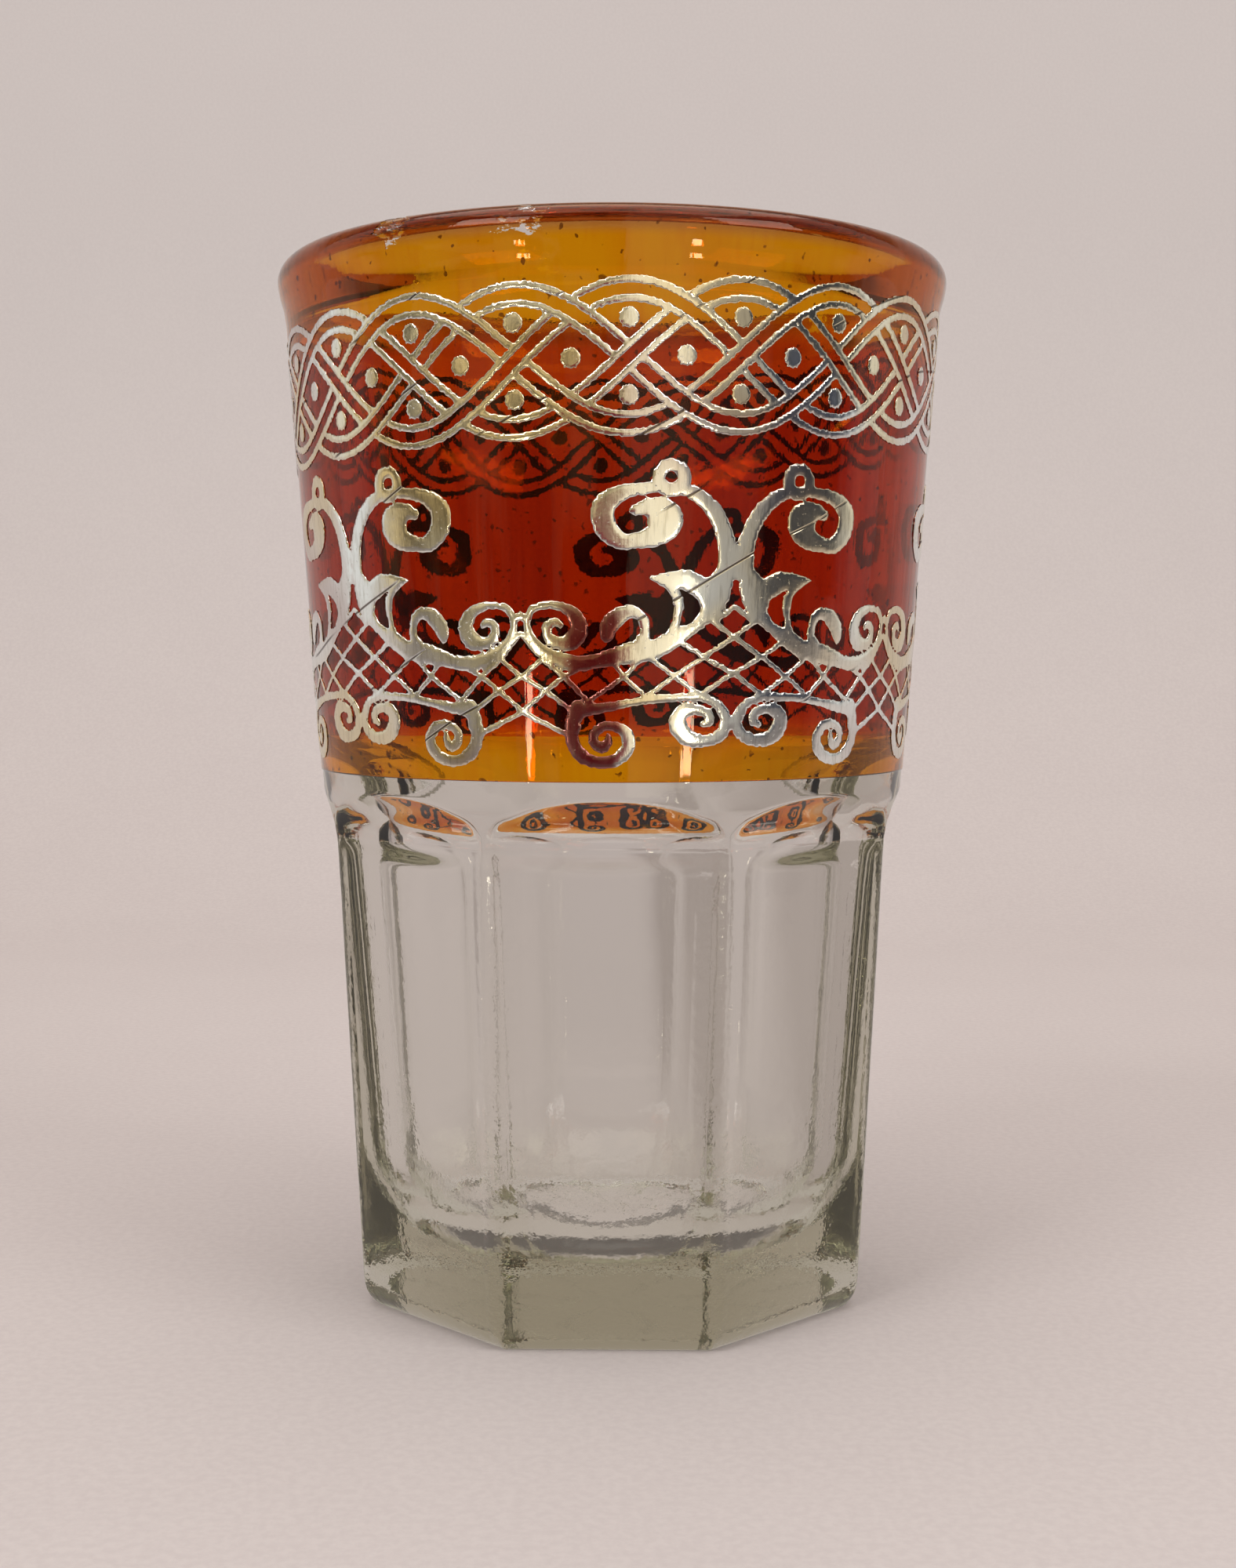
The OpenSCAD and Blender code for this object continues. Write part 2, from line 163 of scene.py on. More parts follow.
def ripple(th, z, seed, size):
    """A slow unevenness of pressed glass, in millimetres."""
    rng = np.random.default_rng(seed)
    out = 0
    for n in range(1, 9):
        a, b, p, q = rng.integers(1, 7), rng.uniform(0.01, 0.09), *rng.uniform(0, 6.28, 2)
        out = out + np.sin(a * th + p + b * z * 6.28) * np.cos(b * 4 * z + q) / 8
    return out * size


def lathe(name, rings, close=True):
    """A closed mesh from rings of (radius, height) arrays; the first and last shrink to a point."""
    count = len(rings[0][0])
    verts, faces = [], []
    for r, z in rings:
        verts.append(np.stack([r * np.sin(TH), -r * np.cos(TH), z], 1))
    verts = np.concatenate(verts)
    n = len(rings)
    i = np.arange(count)
    j = (i + 1) % count
    for k in range(n - 1):
        faces.append(np.stack([k * count + i, k * count + j, (k + 1) * count + j,
                               (k + 1) * count + i], 1))
    if not close:
        faces.append(np.stack([(n - 1) * count + i, (n - 1) * count + j, j, i], 1))
    faces = np.concatenate(faces).tolist()
    verts = verts.tolist()
    if close:
        for ring, flip in ((0, True), (n - 1, False)):
            z = float(np.mean(rings[ring][1]))
            verts.append([0, 0, z])
            c = len(verts) - 1
            base = ring * count
            for a, b in zip(i.tolist(), j.tolist()):
                faces.append([c, base + b, base + a] if flip else [c, base + a, base + b])
    mesh = bpy.data.meshes.new(name)
    mesh.from_pydata([[v * MM for v in p] for p in verts], [], faces)
    mesh.shade_smooth()
    mesh.validate()
    piece = bpy.data.objects.new(name, mesh)
    bpy.context.scene.collection.objects.link(piece)
    return piece


# %% [markdown]
# ## Rings of the glass
# The rings run from the underside up the outside, over the lip and down into the cavity. The real
# glass is one skin in just this order, because a plunger presses it into the mould. Rows lie
# closer together where a curve is tight: at the foot, the head of the facets and the lip.

# %% Rings, from the underside round to the floor of the cavity
TH = columns()
off = from_facet(TH)
ones = np.ones_like(TH)
rings = []
# underside: recess, then the ring that stands on the table
for r in (4, 12, 20, 21.3):
    rings.append((ones * r, ones * RECESS_H))
rings.append((ones * 21.9, ones * 0.35))
rings.append((ones * RING_R, ones * 0.0))
edge = soft_min(outer_round(0.0) - RIB_WORN, facet_x(np.zeros_like(TH)) / np.cos(off),
                EDGE_SOFT)
rings.append((RING_R + (edge - RING_R) * 0.55, ones * 0.0))
up = np.concatenate([[0.0, 0.12, 0.35, 0.7, 1.2, 1.9, 2.8, 3.7, 4.6], np.linspace(6, 57, 48),
                     np.linspace(57.5, 65.0, 34), np.linspace(66, 119.5, 40),
                     [120.6, 121.6, 122.4, 123.2, 123.8, 124.4]])
for z in up:
    zz = ones * z
    # fire polishing has worn the ribs between the facets round
    worn = RIB_WORN * (1 - smooth((z - FACET_HEAD_Z + 2) / 5))
    r = soft_min(outer_round(zz) - worn, facet_x(zz) / np.cos(off), EDGE_SOFT)
    wave = ripple(TH, z, 3, 0.05) * smooth(z / 8) * smooth((123 - z) / 5)
    rings.append((r + np.minimum(wave, 0.0), zz))
for a in np.linspace(0, 180, 19):
    rings.append((ones * (ROLL[0] + ROLL_R * math.cos(math.radians(a))),
                  ones * (ROLL[1] + ROLL_R * math.sin(math.radians(a)))))
down = np.concatenate([[124.4, 123.6, 122.6, 121.6, 120.6, 119.6, 118.6], np.linspace(117, 72, 34),
                       np.linspace(71, 52.8, 46), np.linspace(52, 22, 26), np.linspace(21, 12, 14)])
for z in down:
    r = inner_round(ones * z)
    flat = smooth((z - 9) / 12) * smooth((57.2 - z) / 2.6)
    octagon = (r + 0.05) * 0.985 / np.cos(off)
    r = r * (1 - flat) + soft_min(r + 0.55, octagon, 1.1) * flat
    rings.append((r + ripple(TH, z, 8, 0.07) * smooth((118 - z) / 6), ones * z))
for a in np.linspace(48, 88, 10):
    t = math.radians(a)
    rings.append((ones * (FLOOR_R + (WELL_R - FLOOR_R) * math.cos(t)),
                  ones * (WELL_Z - (WELL_Z - BASE_H) * math.sin(t))))
for r in (12, 10, 8, 5.5, 3, 1):
    rings.append((ones * r, ones * (BASE_H + 0.02)))
body = lathe("glass_body", rings)
print("glass body:", len(body.data.polygons), "faces")

# %% [markdown]
# ## Lacquer
# The lacquer is a film over the upper wall and the lip. It could be a colour painted on the glass
# material, but as a skin of its own it tints light once for each pass, so the wall behind shows
# darker through the wall in front, as on the real glass.

# %% The amber film as a closed shell
GAP, FILM = 0.05, 0.08
FOIL_IN, FOIL_OUT = 0.18, 0.28


def lip_path(d):
    """Outer side of the film, d off the glass, from its lower edge up and over the lip."""
    zs = np.concatenate([[LACQUER_Z, LACQUER_Z + 0.2], np.linspace(67, 119.5, 34),
                         [120.6, 121.6, 122.4, 123.2, 123.8, 124.4]])
    path = [(float(outer_round(z)) + d, z) for z in zs]
    for a in np.linspace(0, 90, 12):
        t = math.radians(a)
        path.append((ROLL[0] + (ROLL_R + d) * math.cos(t), ROLL[1] + (ROLL_R + d) * math.sin(t)))
    return path


TH = np.linspace(0, 2 * math.pi, 240, endpoint=False)
ones = np.ones_like(TH)
shell = [(ones * r, ones * z) for r, z in lip_path(GAP + FILM)]
shell += [(ones * r, ones * z) for r, z in reversed(lip_path(GAP))]
film = lathe("amber_film", shell, close=False)
print("amber film:", len(film.data.polygons), "faces")

# %% [markdown]
# ## Foil artwork
# Foil is printed flat on a transfer and then laid round the glass, so its art is drawn flat here
# too: strokes of changing width, discs and patches, each a signed distance on a fine grid. The
# line where the distance is nought becomes the edge of the mesh, which gives smooth curves and
# crisp joins without any boolean.

# %% Drawing tools for flat artwork
def curve_points(points, step=0.18):
    """A Catmull-Rom curve through rows of (x, y, half width), sampled about every step."""
    p = np.array(points, float)
    p = np.vstack([2 * p[0] - p[1], p, 2 * p[-1] - p[-2]])
    out = []
    for k in range(1, len(p) - 2):
        n = max(2, int(np.linalg.norm(p[k + 1, :2] - p[k, :2]) / step))
        t = np.linspace(0, 1, n, endpoint=False)[:, None]
        a, b, c, d = p[k - 1], p[k], p[k + 1], p[k + 2]
        out.append(b + t / 2 * (c - a + t * (2 * a - 5 * b + 4 * c - d
                                             + t * (3 * (b - c) + d - a))))
    out.append(p[-2][None])
    return np.vstack(out)


class Art:
    """Flat artwork on a grid: negative inside the foil, positive outside, in millimetres."""

    def __init__(self, x0, x1, y0, y1, cell):
        self.cell = cell
        self.x = np.linspace(x0, x1, int(round((x1 - x0) / cell)) + 1)
        self.y = np.linspace(y0, y1, int(round((y1 - y0) / cell)) + 1)
        self.d = np.full((len(self.x), len(self.y)), 9.0)

    def near(self, x, y, reach):
        i0, i1 = np.searchsorted(self.x, [x - reach, x + reach])
        j0, j1 = np.searchsorted(self.y, [y - reach, y + reach])
        return slice(i0, i1), slice(j0, j1)

    def stroke(self, points):
        for x, y, w in curve_points(points):
            s = self.near(x, y, w + 2.5 * self.cell + 0.3)
            gx, gy = self.x[s[0]][:, None], self.y[s[1]][None]
            self.d[s] = np.minimum(self.d[s], np.hypot(gx - x, gy - y) - w)

    def patch(self, ring, cut=False):
        """A filled patch inside a ring of points, or a hole with cut."""
        ring = np.array(ring, float)
        gx, gy = np.meshgrid(self.x, self.y, indexing="ij")
        dist, inside = np.full(gx.shape, 9.0), np.zeros(gx.shape, bool)
        for (x0, y0), (x1, y1) in zip(ring, np.roll(ring, -1, 0)):
            ex, ey = x1 - x0, y1 - y0
            t = np.clip(((gx - x0) * ex + (gy - y0) * ey) / (ex * ex + ey * ey + 1e-12), 0, 1)
            dist = np.minimum(dist, np.hypot(gx - x0 - t * ex, gy - y0 - t * ey))
            side = (y0 > gy) != (y1 > gy)
            cross = (x1 - x0) * (gy - y0) / (y1 - y0 + 1e-12) + x0
            inside ^= side & (gx < cross)
        signed = np.where(inside, -dist, dist)
        self.d = np.maximum(self.d, -signed) if cut else np.minimum(self.d, signed)

    def disc(self, x, y, r, cut=False):
        signed = np.hypot(self.x[:, None] - x, self.y[None] - y) - r
        self.d = np.maximum(self.d, -signed) if cut else np.minimum(self.d, signed)

    def ragged(self, seed, size=0.055):
        """Tears the edge a little, but leaves both ends of the strip clean for the next one."""
        ends = np.clip(np.minimum(np.arange(len(self.x)), np.arange(len(self.x))[::-1]) - 2, 0, 1)
        tear = np.random.default_rng(seed).normal(0, size, self.d.shape)
        self.d = self.d + tear * ends[:, None]


# %% [markdown]
# ## Cutting the sheet along its edge
# Marching squares turn the signed distances into faces: a square wholly inside stays whole, and
# one that the edge crosses is cut where the distance is nought. Each point keeps its distance
# from the edge, which later lets the rim of the foil be pressed down.

# %% Faces of the foil from the artwork
def sheet_mesh(art):
    """Points (x, y, distance in from the edge) and faces of the foil, cut along its edge line."""
    d, x, y = art.d, art.x, art.y
    d = np.where(np.abs(d) < 1e-4, 1e-4, d)
    verts, index, faces = [], {}, []

    def corner(i, j):
        key = (i, j)
        if key not in index:
            index[key] = len(verts)
            verts.append((x[i], y[j], -d[i, j]))
        return index[key]

    def crossing(i, j, k, l):
        key = (i, j, k, l) if (i, j) < (k, l) else (k, l, i, j)
        if key not in index:
            a, b = d[key[0], key[1]], d[key[2], key[3]]
            t = min(max(a / (a - b), 0.04), 0.96)
            index[key] = len(verts)
            verts.append((x[key[0]] + t * (x[key[2]] - x[key[0]]),
                          y[key[1]] + t * (y[key[3]] - y[key[1]]), 0.0))
        return index[key]

    low = np.minimum(np.minimum(d[:-1, :-1], d[1:, :-1]), np.minimum(d[1:, 1:], d[:-1, 1:]))
    for i, j in zip(*np.nonzero(low < 0)):
        ring = [(i, j), (i + 1, j), (i + 1, j + 1), (i, j + 1)]
        face = []
        for a, b in zip(ring, ring[1:] + ring[:1]):
            if d[a] < 0:
                face.append(corner(*a))
            if (d[a] < 0) != (d[b] < 0):
                face.append(crossing(*a, *b))
        if len(face) > 2:
            faces.append(face)
    return np.array(verts), faces


print("artwork is drawn in millimetres of wall, unrolled at the height of each band")

# %% [markdown]
# ## Laying the foil round the glass
# One motif is drawn and wrapped; a Geometry Nodes tree turns copies of it round the axis and
# welds their seams. The flat sheet then gets a thickness, because a foil seen through glass
# needs a back as well as a front.

# %% Wrapping, turning and thickening
RELIEF, RELIEF_W = 0.05, 0.24
WELD = 0.03 * MM


def wrapped_mesh(name, verts, faces, mm_per_degree):
    """Lays flat artwork on the wall; x is turned into degrees and y is the height."""
    th, z = np.radians(verts[:, 0] / mm_per_degree), verts[:, 1]
    r = outer_round(z) + FOIL_OUT - RELIEF * (1 - smooth(verts[:, 2] / RELIEF_W))
    pts = np.stack([r * np.sin(th), -r * np.cos(th), z], 1) * MM
    mesh = bpy.data.meshes.new(name)
    mesh.from_pydata(pts.tolist(), [], faces)
    piece = bpy.data.objects.new(name, mesh)
    bpy.context.scene.collection.objects.link(piece)
    return piece


# %% [markdown]
# ## Copies round the glass
# A transfer is cut into equal lengths and laid end to end. The tree below does the same with any
# motif: it sets points round the axis, in one row or three, puts a copy on each and welds the
# ends. A loop of copies in Python would do, but the tree keeps the counts as named inputs.

# %% A Geometry Nodes tree that turns a motif round the axis
def turned_tree(name):
    """A tree that sets Count copies of a motif round the axis and welds them together."""
    tree = bpy.data.node_groups.new(name, "GeometryNodeTree")
    face = tree.interface
    face.new_socket("Motif", in_out="INPUT", socket_type="NodeSocketGeometry")
    face.new_socket("Count", in_out="INPUT", socket_type="NodeSocketInt")
    face.new_socket("Rows", in_out="INPUT", socket_type="NodeSocketInt")
    face.new_socket("Row Height", in_out="INPUT", socket_type="NodeSocketFloat")
    face.new_socket("Wall Slope", in_out="INPUT", socket_type="NodeSocketFloat")
    face.new_socket("Finish", in_out="INPUT", socket_type="NodeSocketMaterial")
    face.new_socket("Foil", in_out="OUTPUT", socket_type="NodeSocketGeometry")
    new, link = tree.nodes.new, tree.links.new
    inp, out = new("NodeGroupInput"), new("NodeGroupOutput")

    def math_node(op, a, b=None):
        node = new("ShaderNodeMath")
        node.operation = op
        for k, v in enumerate((a, b)):
            if v is None:
                continue
            if isinstance(v, (int, float)):
                node.inputs[k].default_value = v
            else:
                link(v, node.inputs[k])
        return node.outputs[0]

    count, rows = inp.outputs["Count"], inp.outputs["Rows"]
    points = new("GeometryNodePoints")
    link(math_node("MULTIPLY", count, rows), points.inputs["Count"])
    index = new("GeometryNodeInputIndex").outputs[0]
    row = math_node("MODULO", index, rows)
    column = math_node("FLOOR", math_node("DIVIDE", index, rows))
    # row 0 is the middle one, half a step on; rows 1 and 2 lie above and below it
    middle = math_node("LESS_THAN", row, 0.5)
    shifted = math_node("MULTIPLY", middle, math_node("GREATER_THAN", rows, 1.5))
    turn = math_node("DIVIDE", math_node("MULTIPLY", 2 * math.pi,
                     math_node("ADD", column, math_node("MULTIPLY", shifted, 0.5))), count)
    side = math_node("SUBTRACT", math_node("MULTIPLY", math_node("GREATER_THAN", row, 1.5), -2.0),
                     -1.0)
    lift = math_node("MULTIPLY", math_node("MULTIPLY", side, math_node("SUBTRACT", 1.0, middle)),
                     inp.outputs["Row Height"])
    place = new("ShaderNodeCombineXYZ")
    link(math_node("MULTIPLY", math_node("MULTIPLY", lift, inp.outputs["Wall Slope"]), -1.0),
         place.inputs["Y"])
    link(lift, place.inputs["Z"])
    spin = new("ShaderNodeVectorRotate")
    spin.rotation_type = "Z_AXIS"
    link(place.outputs[0], spin.inputs["Vector"])
    link(turn, spin.inputs["Angle"])
    move = new("GeometryNodeSetPosition")
    link(points.outputs[0], move.inputs["Geometry"])
    link(spin.outputs[0], move.inputs["Position"])
    angles = new("ShaderNodeCombineXYZ")
    link(turn, angles.inputs["Z"])
    copies = new("GeometryNodeInstanceOnPoints")
    link(move.outputs[0], copies.inputs["Points"])
    link(inp.outputs["Motif"], copies.inputs["Instance"])
    link(angles.outputs[0], copies.inputs["Rotation"])
    real = new("GeometryNodeRealizeInstances")
    link(copies.outputs[0], real.inputs[0])
    weld = new("GeometryNodeMergeByDistance")
    weld.inputs["Distance"].default_value = WELD
    link(real.outputs[0], weld.inputs["Geometry"])
    finish = new("GeometryNodeSetMaterial")
    link(weld.outputs[0], finish.inputs["Geometry"])
    link(inp.outputs["Finish"], finish.inputs["Material"])
    link(finish.outputs[0], out.inputs[0])
    return tree


def turned(piece, tree, finish, **values):
    """Runs the tree on a motif and returns the plain mesh that it makes."""
    mod = piece.modifiers.new("turned", "NODES")
    mod.node_group = tree
    for item in tree.interface.items_tree:
        if item.in_out == "INPUT" and item.name in values:
            mod[item.identifier] = values[item.name]
        if item.in_out == "INPUT" and item.name == "Finish":
            mod[item.identifier] = finish
    bpy.context.view_layer.update()
    graph = bpy.context.evaluated_depsgraph_get()
    mesh = bpy.data.meshes.new_from_object(piece.evaluated_get(graph))
    piece.modifiers.remove(mod)
    old = piece.data
    piece.data = mesh
    bpy.data.meshes.remove(old)
    return piece


# %% [markdown]
# ## Thickness
# Real foil has two faces. The back follows the wall just above the lacquer, and a rim joins it to
# the front along every open edge, so that the sheet is a closed solid without boolean or modifier.

# %% A back and a rim for a sheet
def thickened(piece, shape=None):
    """Gives a sheet round the axis a back and a rim; shape may move its points first."""
    mesh = piece.data
    pts = np.empty(len(mesh.vertices) * 3, np.float32)
    mesh.vertices.foreach_get("co", pts)
    pts = pts.reshape(-1, 3).astype(float) / MM
    if shape is not None:
        pts = shape(pts)
    r = np.hypot(pts[:, 0], pts[:, 1])
    back = pts.copy()
    back[:, :2] *= ((outer_round(pts[:, 2]) + FOIL_IN) / r)[:, None]
    faces = [list(f.vertices) for f in mesh.polygons]
    edges = {}
    for f in faces:
        for a, b in zip(f, f[1:] + f[:1]):
            edges[(a, b)] = edges.get((a, b), 0) + 1
    n = len(pts)
    rim = [[b, a, a + n, b + n] for a, b in edges if (b, a) not in edges]
    whole = faces + [[v + n for v in reversed(f)] for f in faces] + rim
    new = bpy.data.meshes.new(mesh.name)
    new.from_pydata((np.vstack([pts, back]) * MM).tolist(), [], whole)
    new.materials.append(foil_finish)
    new.validate()
    bm = bmesh.new()
    bm.from_mesh(new)
    bmesh.ops.recalc_face_normals(bm, faces=bm.faces)
    bm.to_mesh(new)
    bm.free()
    # smooth across the sheet, sharp at its rim
    smooth_faces = np.ones(len(new.polygons), bool)
    smooth_faces[2 * len(faces):] = False
    new.polygons.foreach_set("use_smooth", smooth_faces)
    piece.data = new
    bpy.data.meshes.remove(mesh)
    print(piece.name, len(new.polygons), "faces")
    return piece


round_tree = turned_tree("turned_round")

# %% [markdown]
# ## Materials
# Shader sums are written as plain arithmetic on sockets by one small class, so that each
# material reads as a recipe.

# %% A material recipe book
class Socket:
    """A shader output that can be added, multiplied and compared like a number."""

    def __init__(self, book, out):
        self.book, self.out = book, out

    def _op(self, op, other, back=False):
        a, b = (other, self) if back else (self, other)
        return self.book.node("ShaderNodeMath", {0: a, 1: b}, operation=op)

    def __add__(self, o): return self._op("ADD", o)
    def __radd__(self, o): return self._op("ADD", o, True)
    def __sub__(self, o): return self._op("SUBTRACT", o)
    def __rsub__(self, o): return self._op("SUBTRACT", o, True)
    def __mul__(self, o): return self._op("MULTIPLY", o)
    def __rmul__(self, o): return self._op("MULTIPLY", o, True)
    def __gt__(self, o): return self._op("GREATER_THAN", o)
    def __lt__(self, o): return self._op("LESS_THAN", o)

    def apart(self, o):
        """The plain distance between two numbers."""
        return self.book.node("ShaderNodeMath", {0: self - o}, operation="ABSOLUTE")

    def wave(self):
        """The cosine of a number."""
        return self.book.node("ShaderNodeMath", {0: self}, operation="COSINE")

    def share(self):
        """What is left of a number after its whole part."""
        return self.book.node("ShaderNodeMath", {0: self}, operation="FRACT")

    def ramp(self, low, high, out_low=0.0, out_high=1.0):
        """Soft step from low to high."""
        return self.book.node("ShaderNodeMapRange", {0: self, 1: low, 2: high, 3: out_low,
                                                     4: out_high}, interpolation_type="SMOOTHSTEP")


# %% [markdown]
# ## The book itself
# A book owns the node tree of one material or world. Every node is made by one method that takes
# its type, its settings and its inputs, and a few short methods name the nodes used most.

# %% Nodes by name
class Book:
    """One material or world being written: nodes are made where they are used."""

    def __init__(self, owner, end="ShaderNodeOutputMaterial"):
        self.mat = owner
        owner.use_nodes = True
        self.tree = owner.node_tree
        self.tree.nodes.clear()
        self.result = self.tree.nodes.new(end)

    def node(self, kind, inputs=(), out=0, **settings):
        made = self.tree.nodes.new(kind)
        for key, value in settings.items():
            setattr(made, key, value)
        for key, value in dict(inputs).items():
            if isinstance(value, Socket):
                self.tree.links.new(value.out, made.inputs[key])
            else:
                made.inputs[key].default_value = value
        return Socket(self, made.outputs[out])

    def place(self, sx=1.0, sy=1.0, sz=1.0):
        """Object position in metres, stretched along each axis."""
        co = self.node("ShaderNodeTexCoord", out="Object")
        return self.node("ShaderNodeMapping", {"Vector": co, "Scale": (sx, sy, sz)})

    def axes(self, at):
        """The three numbers of a place."""
        apart = self.node("ShaderNodeSeparateXYZ", {0: at})
        return [Socket(self, apart.out.node.outputs[k]) for k in range(3)]

    def noise(self, at, scale, detail=2.0, rough=0.5, distort=0.0):
        return self.node("ShaderNodeTexNoise", {"Vector": at, "Scale": scale, "Detail": detail,
                                                "Roughness": rough, "Distortion": distort}, "Fac")

    def blend(self, t, a, b):
        """Colour a where t is 0 and colour b where t is 1."""
        mix = self.tree.nodes.new("ShaderNodeMix")
        mix.data_type = "RGBA"
        for socket, value in ((mix.inputs[0], t), (mix.inputs[6], a), (mix.inputs[7], b)):
            if isinstance(value, Socket):
                self.tree.links.new(value.out, socket)
            else:
                socket.default_value = value
        return Socket(self, mix.outputs[2])

    def bump(self, height, strength, distance):
        return self.node("ShaderNodeBump", {"Height": height, "Strength": strength,
                                            "Distance": distance})

    def surface(self, **inputs):
        """The finished surface: a Principled shader with these sockets."""
        names = {key: key.replace("_", " ") for key in inputs}
        out = self.node("ShaderNodeBsdfPrincipled", {names[k]: v for k, v in inputs.items()})
        self.tree.links.new(out.out, self.result.inputs["Surface"])
        return out


def rgb(r, g, b):
    """A colour given as it looks on screen, 0 to 255, as the linear value a shader wants."""
    return tuple((v / 255 / 12.92 if v <= 10 else ((v / 255 + 0.055) / 1.055) ** 2.4)
                 for v in (r, g, b)) + (1.0,)


# %% [markdown]
# ## Glass, lacquer and foil finishes
# Clear glass takes its faint green from the depth of glass that light crosses, so it has an
# absorbing volume and a surface that is almost white. The lacquer is a tinted film with runs
# and streaks left by the brush. The foil is metal, a little crumpled, with worn pin holes.

# %% Clear pressed glass
GLASS_IOR, GLASS_TINT, GLASS_DENSITY = 1.5, (0.675, 0.665, 0.525, 1.0), 40.0
book = Book(bpy.data.materials.new("pressed_glass"))
at = book.place()
x, y, z = book.axes(at)
low = 1.0 - z.ramp(0.012, 0.034)
# the mould leaves a rough seam along each rib, an eighth of a turn apart
angle = book.node("ShaderNodeMath", {0: x, 1: 0.0 - y}, operation="ARCTAN2")
rib = (0.0 - (angle * float(FACETS)).wave()).ramp(0.91, 0.99) * (1.0 - z.ramp(0.050, 0.062))
orange_peel = book.noise(at, 520, 3.0, 0.6)
scuffs = book.noise(at, 900, 4.0, 0.7).ramp(0.64, 0.76)
book.surface(Base_Color=(1.0, 1.0, 1.0, 1.0), IOR=GLASS_IOR, Transmission_Weight=1.0,
             Roughness=scuffs * 0.08 + low * 0.02 + rib * 0.10,
             Normal=book.bump(book.noise(at, 42, 2.0) * 0.6
                              + orange_peel * (0.04 + low * 0.40 + rib * 0.80), 0.30, 0.0007))
depth = book.node("ShaderNodeVolumeAbsorption", {"Color": GLASS_TINT,
                                                 "Density": GLASS_DENSITY})
book.tree.links.new(depth.out, book.result.inputs["Volume"])
glass_finish = book.mat

# %% [markdown]
# ## Amber lacquer
# The real lacquer is brushed on and fired, with runs down the wall, a few dark specks, and chips
# where the lip has been knocked. One flat tint would look like plastic, so two tints are mixed by
# noise that is stretched along the height, and alpha cuts the chips. A deeper tint between the
# edges of the coat paints the amber shadow on the paper behind the glass.

# %% Amber lacquer
CHIPS = ((-0.0235, -0.0336), (-0.0085, -0.0402), (0.030, 0.028))
CHIP_SHARE, FILM_IOR = 0.25, 1.30
PLAIN_TINT = (0.96, 0.420, 0.003, 1.0), (0.90, 0.330, 0.001, 1.0)
SHADOW_TINT = (0.74, 0.165, 0.001, 1.0), (0.60, 0.095, 0.0004, 1.0)
LIP_TINT, SPECK_TINT = (0.46, 0.19, 0.08, 1.0), (0.20, 0.05, 0.002, 1.0)
book = Book(bpy.data.materials.new("amber_lacquer_film"))
at = book.place()
x, y, z = book.axes(at)
runs = book.noise(book.place(1.0, 1.0, 0.07), 150, 3.0, 0.65)
fine_runs = book.noise(book.place(1.0, 1.0, 0.03), 900, 2.0, 0.5)
cloud = book.noise(at, 38, 3.0, 0.55)
tone = runs.ramp(0.40, 0.62) * 0.55 + cloud.ramp(0.3, 0.7) * 0.25
tone = tone + fine_runs.ramp(0.5, 0.75) * 0.35
# a deeper tint between the edges of the coat paints the amber shadow on the paper behind
shadow_band = z.ramp(0.067, 0.074) * (1.0 - z.ramp(0.1125, 0.1165))
tint = book.blend(shadow_band, book.blend(tone, *PLAIN_TINT), book.blend(tone, *SHADOW_TINT))
tint = book.blend(z.ramp(0.1236, 0.1256) * 0.8, tint, LIP_TINT)
specks = book.noise(at, 950, 1.0, 0.5).ramp(0.70, 0.73)
tint = book.blend(specks * 0.85, tint, SPECK_TINT)
near = 0.0
for cx, cy in CHIPS:
    far_x, far_y = x.apart(cx), y.apart(cy)
    near = near + (1.0 - (far_x + far_y).ramp(0.001, 0.006)) * CHIP_SHARE
flaked = book.noise(book.place(1.0, 1.0, 2.2), 480, 4.0, 0.7) + near
flaked = flaked + z.ramp(0.1225, 0.1250, -0.3, 0.0)
book.surface(Base_Color=tint, IOR=FILM_IOR, Transmission_Weight=1.0,
             Alpha=1.0 - flaked.ramp(0.73, 0.75),
             Roughness=0.02 + 0.08 * fine_runs.ramp(0.6, 0.8),
             Normal=book.bump(runs * 0.5 + cloud * 0.3 + fine_runs * 0.12, 0.35, 0.0005))
amber_finish = book.mat

# %% [markdown]
# ## Silver foil
# The real foil is a mirror a few thousandths of a millimetre thick. It has worn to cream in places,
# and creases of the transfer run up across it. A maroon reflection is painted on the low middle of
# the front, and shade is painted in the creases and on the back. All of that is colour and a slight
# bump on a metal, so that the room still shows in it.

# %% Silver foil
SILVER, CREAM, MAROON_REFLECTION = rgb(244, 244, 240), rgb(236, 223, 192), rgb(146, 60, 64)
DUSKY, GREY, PIT_AND_CREASE_SHADE = rgb(150, 88, 84), rgb(150, 138, 118), rgb(66, 44, 30)
BACK_SHADE, BACK_SIDE = (0.03, 0.014, 0.008, 1.0), -0.01
book = Book(bpy.data.materials.new("silver_foil"))
at = book.place()
x, y, z = book.axes(at)
crumple = book.noise(at, 260, 4.0, 0.6)
brushed = book.noise(book.place(1.0, 1.0, 0.12), 2200, 2.0, 0.6)
patches = book.noise(at, 55, 2.0, 0.5)
# creases of the transfer run up across the band, in short straight stretches
climb = (z * 0.866 - x * 0.5) * 118.0 + book.noise(at, 40, 1.0) * 0.35
crease = 1.0 - climb.share().apart(0.5).ramp(0.006, 0.022)
crease = crease * book.noise(at, 70, 1.0).ramp(0.46, 0.54)
pits = book.noise(at, 2400, 3.0, 0.7).ramp(0.66, 0.74)
colour = book.blend(patches.ramp(0.42, 0.60), SILVER, CREAM)
